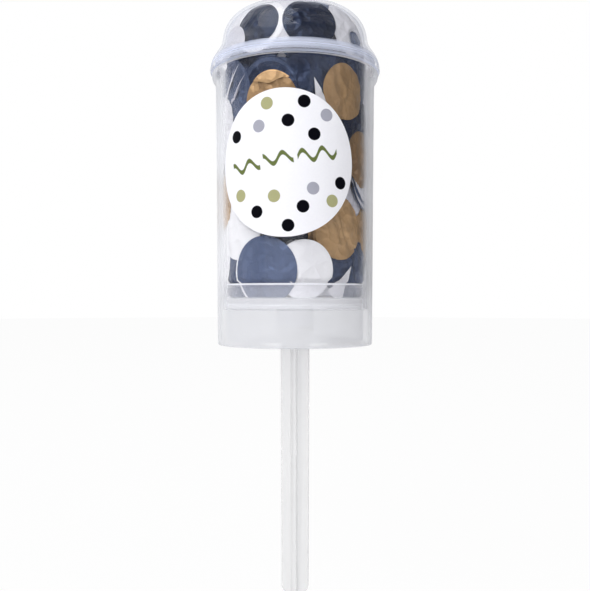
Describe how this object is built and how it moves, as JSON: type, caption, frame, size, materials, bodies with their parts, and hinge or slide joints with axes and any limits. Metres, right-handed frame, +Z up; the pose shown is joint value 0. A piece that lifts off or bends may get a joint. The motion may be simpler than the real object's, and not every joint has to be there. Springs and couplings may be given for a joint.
{
  "type": "confetti push pop",
  "caption": "Clear barrel with a pull-off dome lid, a piston cup on a push stick that slides up inside it, a round front label and loose tissue discs as the filling.",
  "frame": {"origin": "on the barrel's axis, at the tip of the push stick in its rest place", "axes": "+Z up along the axis, from the stick's tip to the lid's crown; -Y faces the middle of the front label"},
  "size_m": [0.0514, 0.0514, 0.1773],
  "materials": {
    "clear_plastic": "clear, glossy, faintly blue-violet at its edges",
    "milky_plastic": "translucent, milky, satin-gloss moulding",
    "label_paper": "smooth white sticker paper with printed dots",
    "tissue_navy": "crinkled thin tissue, blue-black",
    "tissue_gold": "crinkled thin tissue, antique gold with a soft sheen",
    "tissue_white": "crinkled thin tissue, white, translucent"
  },
  "bodies": {
    "barrel": {"barrel": "clear_plastic", "front_label": "label_paper"},
    "pusher": {"piston_cup": "milky_plastic", "push_stick": "milky_plastic", "confetti_gold_01": "tissue_gold", "confetti_gold_02": "tissue_gold", "confetti_gold_03": "tissue_gold", "confetti_gold_04": "tissue_gold", "confetti_gold_05": "tissue_gold", "confetti_gold_06": "tissue_gold", "confetti_gold_07": "tissue_gold", "confetti_gold_08": "tissue_gold", "confetti_gold_09": "tissue_gold", "confetti_gold_10": "tissue_gold", "confetti_gold_11": "tissue_gold", "confetti_gold_12": "tissue_gold", "confetti_gold_13": "tissue_gold", "confetti_navy_01": "tissue_navy", "confetti_navy_02": "tissue_navy", "confetti_navy_03": "tissue_navy", "confetti_navy_04": "tissue_navy", "confetti_navy_05": "tissue_navy", "confetti_navy_06": "tissue_navy", "confetti_navy_07": "tissue_navy", "confetti_navy_08": "tissue_navy", "confetti_navy_09": "tissue_navy", "confetti_navy_10": "tissue_navy", "confetti_navy_11": "tissue_navy", "confetti_navy_12": "tissue_navy", "confetti_navy_13": "tissue_navy", "confetti_navy_14": "tissue_navy", "confetti_navy_15": "tissue_navy", "confetti_navy_16": "tissue_navy", "confetti_navy_17": "tissue_navy", "confetti_navy_18": "tissue_navy", "confetti_navy_19": "tissue_navy", "confetti_navy_20": "tissue_navy", "confetti_navy_21": "tissue_navy", "confetti_navy_22": "tissue_navy", "confetti_navy_23": "tissue_navy", "confetti_navy_24": "tissue_navy", "confetti_white_01": "tissue_white", "confetti_white_02": "tissue_white", "confetti_white_03": "tissue_white", "confetti_white_04": "tissue_white", "confetti_white_05": "tissue_white", "confetti_white_06": "tissue_white", "confetti_white_07": "tissue_white", "confetti_white_08": "tissue_white", "confetti_white_09": "tissue_white", "confetti_white_10": "tissue_white", "confetti_white_11": "tissue_white", "confetti_white_12": "tissue_white", "confetti_white_13": "tissue_white", "confetti_white_14": "tissue_white", "confetti_white_15": "tissue_white", "confetti_white_16": "tissue_white", "confetti_white_17": "tissue_white"},
    "lid": {"dome_lid": "clear_plastic"}
  },
  "joints": [
    {"name": "push_slide", "type": "slide", "parent": "barrel", "child": "pusher", "axis": [0, 0, 1], "range_m": [0, 0.07]},
    {"name": "lid_lift", "type": "slide", "parent": "pusher", "child": "lid", "axis": [0, 0, 1], "range_m": [0, 0.06]}
  ]
}
